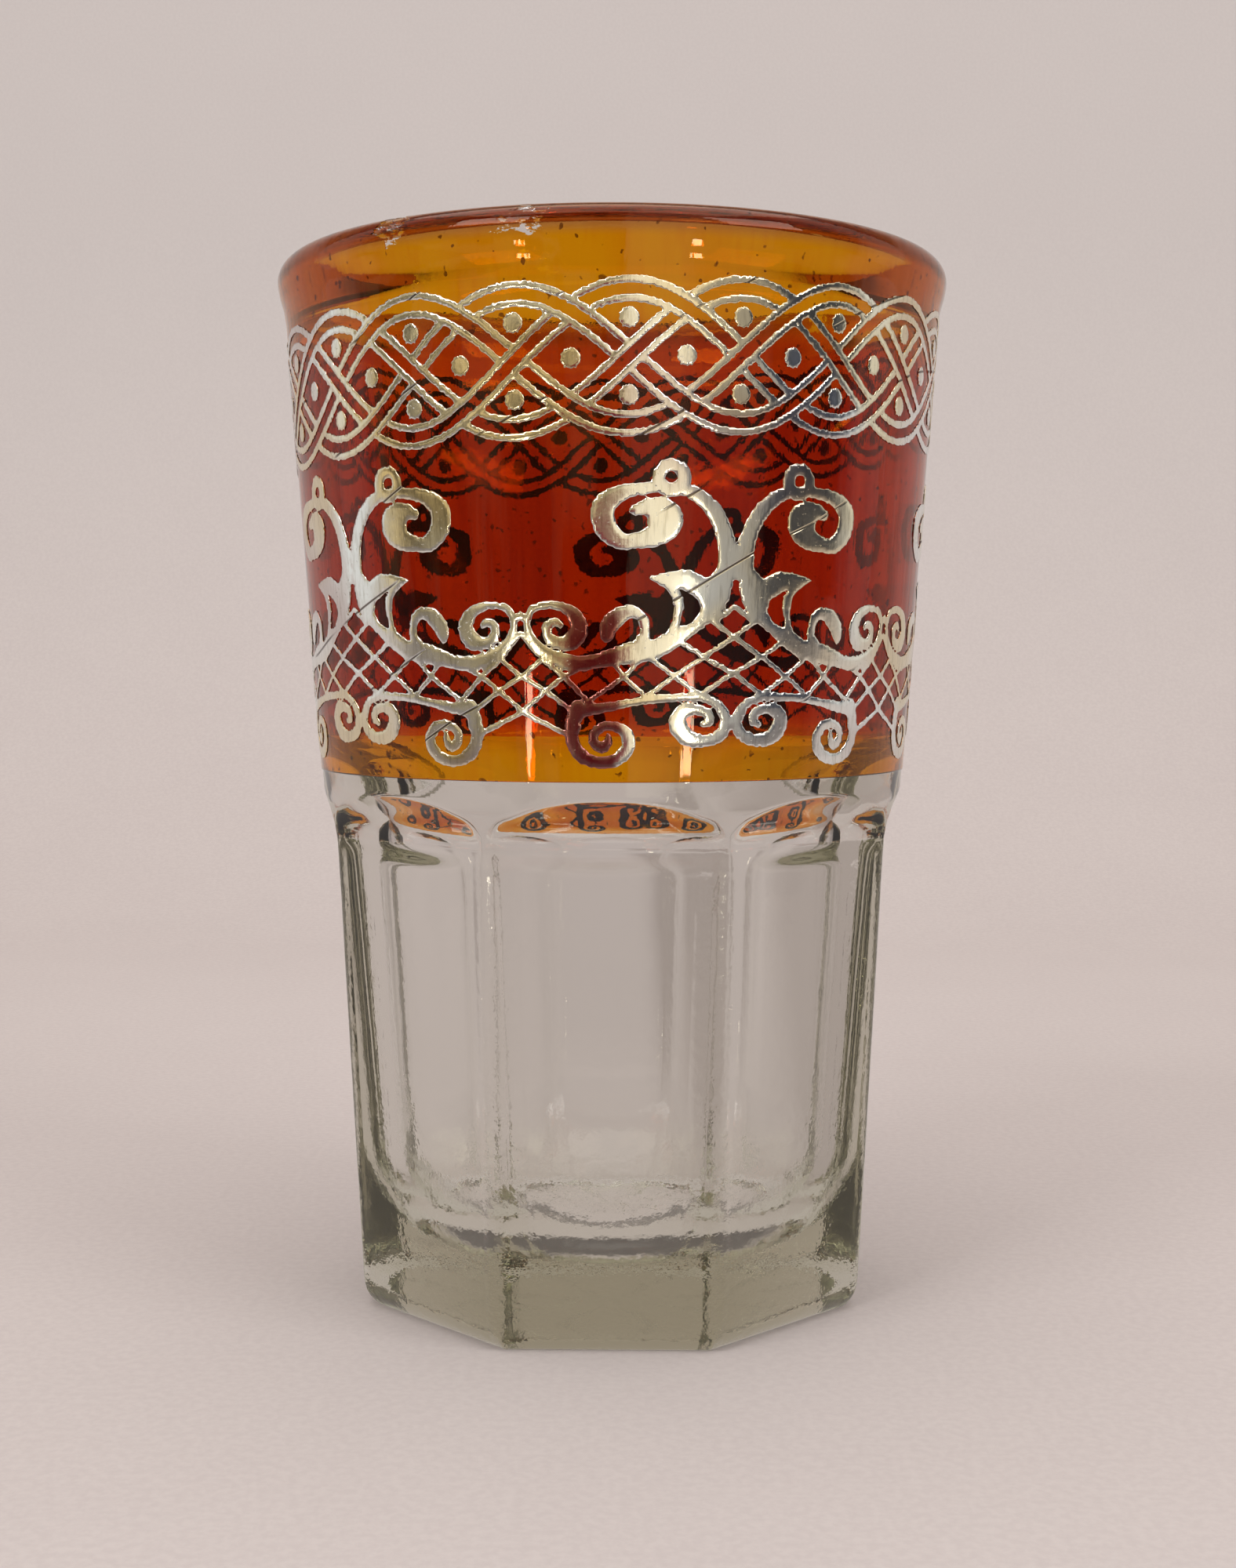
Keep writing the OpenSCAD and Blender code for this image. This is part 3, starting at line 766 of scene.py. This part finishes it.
# a maroon reflection is painted on the low middle of the lace, on the front only
wide = x.apart(book.noise(at, 110, 2.0) * 0.004 - 0.0035)
painted_reflection = (1.0 - wide.ramp(0.0026, 0.0038)) * (1.0 - z.ramp(0.083, 0.088))
colour = book.blend(painted_reflection * (1.0 - y.ramp(-0.02, 0.0)) * 0.9, colour, MAROON_REFLECTION)
colour = book.blend(book.noise(at, 33, 1.0, 0.5, 0.4).ramp(0.60, 0.68) * 0.30, colour, DUSKY)
colour = book.blend(brushed.ramp(0.45, 0.8) * 0.35, colour, GREY)
# pin holes are dark, and shade is painted dark along the creases
colour = book.blend(pits * 0.7 + crease * 0.85, colour, PIT_AND_CREASE_SHADE)
# shade is painted dark on the side that lies on the lacquer, so the far foil shows as dark shapes
nx, ny = book.axes(book.node("ShaderNodeNewGeometry", out="True Normal"))[:2]
colour = book.blend(nx * x + ny * y < BACK_SIDE, colour, BACK_SHADE)
book.surface(Base_Color=colour, Metallic=1.0,
             Roughness=0.13 + crumple.ramp(0.3, 0.75) * 0.10 + pits * 0.2,
             Normal=book.bump(crumple * 0.13 + brushed * 0.03 - crease * 0.25 - pits * 0.15,
                              0.50, 0.0005))
foil_finish = book.mat
print("finishes:", [m.name for m in (glass_finish, amber_finish, foil_finish)])

# %% [markdown]
# ## The braid
# Four strands weave round the glass. Each strand is a cosine of the angle, a quarter of a wave
# behind the last, drawn as two lines of foil. Where one strand passes under another its lines
# stop at the edge of the upper one, and the order of over and under repeats every five crossings.

# %% Braid artwork, one repeat of the weave
BRAID_R, BRAID_CELL = 39.6, 0.26
MM_DEG = math.radians(1) * BRAID_R
BRAID_Z, BRAID_RISE, STRAND_W, LINE_W, STEP = 111.25, 7.05, 2.75, 0.80, 18.0
BRAID_LOW, BRAID_HIGH, QUARTER, WAVES = 101.9, 120.6, 90, 5
WEAVE = [[0, 0, 1], [1, 0, 0], [1, 0, 0], [1, 1, 1], [0, 1, 1]]


def strand_field(gx, gy, k):
    """Distance from the centre line of strand k, over a whole grid."""
    ph = np.radians(WAVES * gx / MM_DEG - 90 * k)
    z = BRAID_RISE * np.cos(ph)
    slope = -BRAID_RISE * np.sin(ph) * math.radians(WAVES) / MM_DEG
    d = (gy - BRAID_Z - z) / np.sqrt(1 + slope ** 2)
    bend = -BRAID_RISE * np.cos(ph) * (math.radians(WAVES) / MM_DEG) ** 2
    bend = bend / (1 + slope ** 2) ** 1.5
    return d * (1 + 0.5 * bend * d * slope ** 2)


braid = Art(0, QUARTER * MM_DEG, BRAID_LOW, BRAID_HIGH, BRAID_CELL)
gx, gy = np.meshgrid(braid.x, braid.y, indexing="ij")
fields = [strand_field(gx, gy, k) for k in range(4)]
lines = [np.abs(np.abs(f) - (STRAND_W - LINE_W) / 2) - LINE_W / 2 for f in fields]
bands = [np.abs(f) - STRAND_W / 2 for f in fields]
for unit in range(-1, 6):
    over = WEAVE[(unit + 2) % 5]
    at_x = unit * STEP * MM_DEG
    shift = unit % 4
    for rise, fall, where, top in ((1, 3, 0, over[0]), (1, 0, 0.5, over[1]), (2, 3, 0.5, over[2])):
        up, low = (rise, fall) if top else (fall, rise)
        up, low = (up + shift) % 4, (low + shift) % 4
        near = np.abs(gx - at_x - where * STEP * MM_DEG) < STEP * MM_DEG / 2
        lines[low] = np.where(near, np.maximum(lines[low], -bands[up] - 0.02), lines[low])
for field in lines:
    braid.d = np.minimum(braid.d, field)
braid.ragged(5)
verts, faces = sheet_mesh(braid)
motif = wrapped_mesh("braid_band", verts, faces, MM_DEG)
BRAID_TURN, TILT = math.radians(3.8), 0.031


def laid_askew(pts):
    """The band was laid on a little askew: it climbs to the right and sinks to the left."""
    c, s = math.cos(BRAID_TURN), math.sin(BRAID_TURN)
    x, y = pts[:, 0] * c - pts[:, 1] * s, pts[:, 0] * s + pts[:, 1] * c
    r, z = np.hypot(x, y), pts[:, 2] + TILT * x
    scale = (r + outer_round(z) - outer_round(pts[:, 2])) / r
    return np.stack([x * scale, y * scale, z], 1)


band = thickened(turned(motif, round_tree, foil_finish, Count=4, Rows=1), laid_askew)

# %% [markdown]
# ## Dots between the strands
# Sixty dots fill the meshes of the braid in three rows, so one wrapped dot is enough for the tree.

# %% Dots
DOT_D, DOT_ROW, DOT_BOX, DOT_CELL = 2.2, 4.05, 1.5, 0.15
dot = Art(-DOT_BOX, DOT_BOX, BRAID_Z - DOT_BOX, BRAID_Z + DOT_BOX, DOT_CELL)
dot.disc(0, BRAID_Z, DOT_D / 2)
dot.ragged(11, 0.08)
verts, faces = sheet_mesh(dot)
motif = wrapped_mesh("braid_dot", verts, faces, MM_DEG)
dots = thickened(turned(motif, round_tree, foil_finish, Count=20, Rows=3,
                        **{"Row Height": DOT_ROW * MM, "Wall Slope": SLOPE}), laid_askew)

# %% [markdown]
# ## The lace of scrolls
# Five horned scrolls stand round the glass, joined by a swag, small spirals and a lattice. The
# motif is mirror symmetric, so half of it is drawn, in degrees from its middle and millimetres of
# height, and then mirrored.

# %% Scroll artwork
LACE_DEG, LACE_LOW, LACE_HIGH, LACE_CELL, HALF_TURN = 0.65, 66.3, 101.2, 0.295, 36
HORN = [(1.6, 88.3, 2.1), (1.6, 91, 2.1), (2.6, 93.3, 1.9), (4.3, 95.3, 1.8), (7.5, 97, 1.5),
        (11, 97.6, 1.2), (15, 97.5, 1.2), (19, 97, 1.7), (22, 95.6, 2.4), (21.8, 93.4, 2.4),
        (19.5, 91.9, 1.9), (17, 91.9, 1.7), (13.5, 92.6, 2.6), (12.2, 94.3, 3.8),
        (14.5, 95.5, 2.0), (16.9, 95.2, 1.2)]
SWAG = [(3.8, 83.9, 1.2), (7, 82.5, 1), (10, 81.3, 1.5), (13, 80.4, 2), (16, 80, 2.4),
        (20, 79.5, 2), (23, 79, 1.6), (26, 78.7, 1.7), (29, 79, 1.7), (32, 80, 1.2),
        (34, 81.4, 0.9), (34.9, 83, 0.8), (34, 84.5, 0.8), (32, 85, 0.8), (29.5, 84.9, 1),
        (27.3, 84.2, 1.4), (26.1, 82.6, 1.9), (27.2, 81.2, 2), (29.3, 80.9, 1.4),
        (31.1, 81.4, 1.2), (31.5, 82.6, 1.1), (30.2, 83.2, 0.9), (29.2, 82.8, 0.6)]
CURL = [(16.5, 80.5, 1.6), (15.3, 82, 1.1), (15.9, 83.7, 1.2), (17.6, 84.3, 1.4),
        (19.7, 83.8, 1.9), (21.2, 82.7, 1.9), (21.6, 81.7, 1.4), (21.4, 81.1, 0.5)]
BIG_SPIRAL = [(26.5, 74, 1.6), (27.2, 72.3, 1.8), (27.5, 70.5, 1.5), (26.2, 68.8, 1.5),
              (23.5, 67.95, 1.3), (20.5, 68.1, 1.4), (18.3, 69.2, 1.5), (18, 70.6, 1.4),
              (19.5, 71.7, 1.2), (21.8, 71.9, 1.1), (23.6, 71.2, 1.1), (23.7, 70, 1.1),
              (22.3, 69.6, 1.3), (21.3, 70.3, 0.9), (21.4, 70.9, 0.5)]
ARCH = [(25.5, 73.6, 1.4), (22, 73.9, 1.2), (18, 74.4, 0.9), (14, 74.8, 0.9), (10, 75, 0.9),
        (6, 75, 0.9), (3, 74.4, 1), (1.5, 73.3, 1.3), (1, 72, 1.4), (2.2, 70.8, 1.4),
        (5, 70.2, 1.4), (8, 70.7, 1.9), (9.6, 72, 2), (8.9, 73.3, 1.7), (6.7, 73.7, 1.2),
        (4.6, 73.3, 1.2), (4, 72.4, 1), (5.3, 72, 0.7)]
LEAF = [(1.6, 89.2), (0.9, 88.7), (0.3, 88.3), (0.7, 86.8), (1.2, 85.5), (2.2, 84.3),
        (3.6, 83.3), (7.5, 82.2), (11.5, 80.9), (14.2, 81.2), (12.6, 81.7), (11.5, 82.3),
        (10.8, 83.2), (10.5, 84.5), (10.9, 86), (12, 86.8), (13.3, 87.3), (15, 88),
        (13, 88.35), (11.2, 88.6), (9.5, 88.85), (8, 88.8), (6.6, 88.45), (5.3, 88),
        (4.6, 88.1), (3.6, 88.8), (2.6, 89.6)]
LEAF_HOLE = [(9.9, 86.8), (8.9, 86.6), (7.8, 86.2), (6.4, 85.5), (6, 84.6), (6.4, 84),
             (7.4, 83.2), (8.6, 82.8), (9.6, 82.7), (9.5, 83.5), (8.9, 84.8), (9, 85.8)]
LATTICE = [[(0, 84.9), (3.8, 83.2)], [(0, 81.6), (3.8, 83.3)],
           [(0, 81.6), (5.3, 79.4), (10.3, 77.3), (15, 75.1)], [(0, 77.7), (5.5, 75.3)],
           [(0, 77.6), (5.3, 79.4), (9.2, 81)], [(5.5, 75.2), (10.3, 77.3), (15, 79.6)],
           [(15, 75), (18.7, 77.3), (20.8, 78.9)], [(16.2, 79), (18.7, 77.3), (25.5, 74.2)],
           [(24.3, 74.3), (28.8, 77.3), (32.4, 79.2), (36, 82)],
           [(25.5, 78.3), (28.8, 77.3), (31.9, 75.7), (36, 73.5)],
           [(30.4, 79.2), (32.4, 79.2), (36, 77.2)], [(27, 73.4), (31.9, 75.7), (36, 77.3)],
           [(27.4, 70.7), (36, 73.4)]]
# %% [markdown]
# ## Drawing the lace
# Strokes, discs and patches are drawn once for each side, and five copies close the ring. The
# whole lace is then turned so that a valley between two scrolls lies left of the front.

# %% The lace drawn, wrapped and turned
lace = Art(-HALF_TURN * LACE_DEG, HALF_TURN * LACE_DEG, LACE_LOW, LACE_HIGH,
           LACE_CELL)
for side in (-1, 1):
    def laid(points):
        return [(side * p[0] * LACE_DEG, p[1]) + tuple(w / 2 for w in p[2:]) for p in points]

    for stroke in (HORN, SWAG, CURL, BIG_SPIRAL, ARCH):
        lace.stroke(laid(stroke))
    lace.disc(side * 11.2 * LACE_DEG, 98.6, 2.05)
    lace.disc(side * 11.3 * LACE_DEG, 98.7, 0.65, cut=True)
    lace.patch(laid(LEAF))
    lace.patch(laid(LEAF_HOLE), cut=True)
    lace.stroke(laid([(34.9, 83.4, 0.8), (36.2, 84, 0.8)]))
    for bar in LATTICE:
        for a, b in zip(bar, bar[1:]):
            lace.stroke(laid([a + (0.55,), b + (0.55,)]))
lace.ragged(7)
verts, faces = sheet_mesh(lace)
motif = wrapped_mesh("scroll_lace", verts, faces, LACE_DEG)
SCROLL_TURN = math.radians(21.9)


def lace_turned(pts):
    c, s = math.cos(SCROLL_TURN), math.sin(SCROLL_TURN)
    return np.stack([pts[:, 0] * c - pts[:, 1] * s, pts[:, 0] * s + pts[:, 1] * c, pts[:, 2]], 1)


scrolls = thickened(turned(motif, round_tree, foil_finish, Count=5, Rows=1), lace_turned)

# %% [markdown]
# ## Putting the pieces on the imported model
# Every piece stands for the imported node of the same thing, which is hidden, and carries a finish
# made here.

# %% Pieces, nodes and slots
for piece, node, finish in ((body, "tumbler", glass_finish), (film, "amber_lacquer", amber_finish),
                            (band, "braid_foil", None), (dots, "braid_dots", None),
                            (scrolls, "scroll_foil", None)):
    if finish:
        piece.data.materials.append(finish)
    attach(piece, "root")
    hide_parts(node)

# %% [markdown]
# ## Table, light and camera
# The table and the wall behind are plain and pale. Soft panels light the glass from above and
# from the front, and the room behind the camera is dimmer than the paper, which is what the foil
# shows in the middle of the glass. The camera stands where the photograph was taken from.

# %% Table and backdrop
PAPER, PALE, DIM = rgb(214, 204, 200), rgb(206, 197, 193), (0.15, 0.13, 0.12, 1.0)
# seen through the glass the paper is a darker tone, painted shade of the paper behind the glass
SHADED_PAPER = rgb(197, 184, 180)
book = Book(bpy.data.materials.new("pale_paper"))
at = book.place()
x, y, z = book.axes(at)
grain = book.noise(at, 900, 3.0, 0.6).ramp(0.3, 0.7) * 0.6 + book.noise(at, 22, 3.0, 0.6) * 0.5
sheet = book.surface(Base_Color=book.blend(grain, PAPER, rgb(204, 193, 190)), Roughness=0.9)
camera_ray, clear_ray, gloss_ray = [book.node("ShaderNodeLightPath", out=kind) for kind in (
    "Is Camera Ray", "Is Transmission Ray", "Is Glossy Ray")]
away = gloss_ray * (1.0 - y.ramp(-0.17, -0.05) * (1.0 - z.ramp(0.52, 0.75)))
# seen through the glass, the paper is shaded on the right and just inside the standing ring
spread = x * x + y * y
shaded = spread.ramp(0.00012, 0.0002) * (1.0 - spread.ramp(0.00046, 0.00056))
shaded = shaded * (1.0 - y.ramp(-0.010, -0.002))
paper = book.blend(x.ramp(0.005, 0.05) * (1.0 - z.ramp(0.0, 0.02)), SHADED_PAPER, rgb(172, 159, 154))
paper = book.blend(shaded * 0.9, paper, (0.10, 0.085, 0.08, 1.0))
shown = book.node("ShaderNodeEmission", {"Strength": 1.0, "Color": book.blend(
    away, book.blend(clear_ray, PALE, paper), DIM)})
lift = camera_ray * z.ramp(0.0, 0.25) * 0.5
mixed = book.node("ShaderNodeMixShader", {0: lift + (clear_ray + gloss_ray) * 0.85,
                                          1: sheet, 2: shown})
book.tree.links.new(mixed.out, book.result.inputs["Surface"])

bend_r, back, edge_y, top_z, half_w = 0.25, 0.55, -0.32, 1.3, 1.3
curve = [(edge_y, 0.0)]
curve += [(back - bend_r + bend_r * math.sin(a), bend_r - bend_r * math.cos(a))
          for a in np.linspace(0, math.pi / 2, 16)] + [(back, top_z)]
verts = [(x, y, z) for y, z in curve for x in (-half_w, half_w)]
faces = [[2 * k, 2 * k + 1, 2 * k + 3, 2 * k + 2] for k in range(len(curve) - 1)]
mesh = bpy.data.meshes.new("table_sweep")
mesh.from_pydata(verts, [], faces)
mesh.materials.append(book.mat)
mesh.shade_smooth()
sweep = bpy.data.objects.new("table_sweep", mesh)
bpy.context.scene.collection.objects.link(sweep)

# %% [markdown]
# ## Lights
# Three large soft panels light the glass evenly from both sides and from above. Two small ones,
# low in front, stand for windows and leave the short bright streaks below the lace.

# %% Lights
def panel(name, at, look, size, power, colour=(1, 1, 1)):
    lamp = bpy.data.lights.new(name, "AREA")
    lamp.shape, lamp.size, lamp.size_y = "RECTANGLE", size[0], size[1]
    lamp.energy, lamp.color = power, colour
    obj = bpy.data.objects.new(name, lamp)
    obj.location = at
    d = [l - a for l, a in zip(look, at)]
    yaw = math.atan2(d[1], d[0]) - math.pi / 2
    obj.rotation_euler = (math.pi / 2 + math.atan2(d[2], math.hypot(d[0], d[1])), 0, yaw)
    bpy.context.scene.collection.objects.link(obj)
    return obj


middle, WARM = (0, 0, 0.065), (1.0, 0.93, 0.72)
panel("key_panel", (-0.55, -0.60, 0.70), middle, (0.4, 0.4), 2.6)
panel("fill_panel", (0.60, -0.45, 0.60), middle, (0.4, 0.4), 1.8)
panel("top_panel", (0.0, 0.0, 1.0), middle, (1.0, 1.0), 3.6)
for name, side in (("left_window", -1), ("right_window", 1)):
    panel(name, (side * 0.28, -0.52, -0.02), middle, (0.03, 0.04), 0.08, WARM)

# %% [markdown]
# ## The room
# Metal and clear glass need something to show. Straight rays see pale paper all round, and rays
# through the glass see the paper darker, with painted shade, except in front, where it is dusk.
# Mirrored rays that go to the front see a dim room with bands of gold, maroon, cream and grey, and
# pale walls elsewhere.

# %% World
world = bpy.data.worlds.new("room")
bpy.context.scene.world = world
book = Book(world, "ShaderNodeOutputWorld")
way = book.node("ShaderNodeTexCoord", out="Generated")
across, deep, rise = book.axes(way)
front = 1.0 - deep.ramp(-0.10, 0.18)
across = across + book.noise(way, 3.0, 2.0) * 0.16 - 0.08
gold = book.blend(book.noise(way, 5.0, 2.0).ramp(0.40, 0.58), (0.80, 0.65, 0.36, 1.0),
                  (0.15, 0.12, 0.07, 1.0))
room = book.blend(across.ramp(-0.30, -0.24) * (1.0 - rise.ramp(-0.09, -0.04)), gold,
                  (0.19, 0.022, 0.032, 1.0))
room = book.blend(across.ramp(0.08, 0.12), room, (1.0, 0.87, 0.62, 1.0))
room = book.blend(across.ramp(0.44, 0.54), room, (0.38, 0.36, 0.33, 1.0))
room = book.blend(across.ramp(0.80, 0.86), room, (0.05, 0.055, 0.075, 1.0))
plain, dusk, glow = (0.53, 0.50, 0.48, 1.0), (0.14, 0.125, 0.13, 1.0), (0.74, 0.74, 0.72, 1.0)
camera_ray, clear_ray, gloss_ray = [book.node("ShaderNodeLightPath", out=kind) for kind in (
    "Is Camera Ray", "Is Transmission Ray", "Is Glossy Ray")]
light = book.blend(gloss_ray, plain, book.blend(front, glow, room))
light = book.blend(clear_ray, light, book.blend(front, SHADED_PAPER, dusk))
light = book.blend(camera_ray, light, PALE)
sky = book.node("ShaderNodeBackground", {"Color": light, "Strength": 1.0})
book.tree.links.new(sky.out, book.result.inputs["Surface"])

# %% [markdown]
# ## Camera
# The lens and the place of the camera were worked out from the lip, the shoulder and the foot of
# the glass in the photograph. The lens sees 41.8 degrees of height, from a quarter of a metre.

# %% Camera
TURN, TILT_DOWN, AIM = math.radians(1.22), math.radians(3.33), math.radians(0.16)
AWAY, UP, FOCAL_PX, FRAME_PX, SENSOR = 0.2603, 0.0786, 2620, 2000, 36.0
camera = bpy.data.objects.new("camera", bpy.data.cameras.new("camera"))
bpy.context.scene.collection.objects.link(camera)
camera.data.sensor_fit = "VERTICAL"
camera.data.sensor_height = SENSOR
camera.data.lens = FOCAL_PX / FRAME_PX * SENSOR
camera.location = (AWAY * math.sin(TURN), -AWAY * math.cos(TURN), UP)
camera.rotation_euler = (math.pi / 2 - TILT_DOWN, 0, TURN - AIM)
camera.data.clip_start, camera.data.clip_end = 0.01, 10
bpy.context.scene.camera = camera
scene = bpy.context.scene
scene.view_settings.view_transform = "Standard"
# light turns back and forth many times inside thick glass
scene.cycles.max_bounces, scene.cycles.transmission_bounces = 24, 24
scene.cycles.glossy_bounces = 16
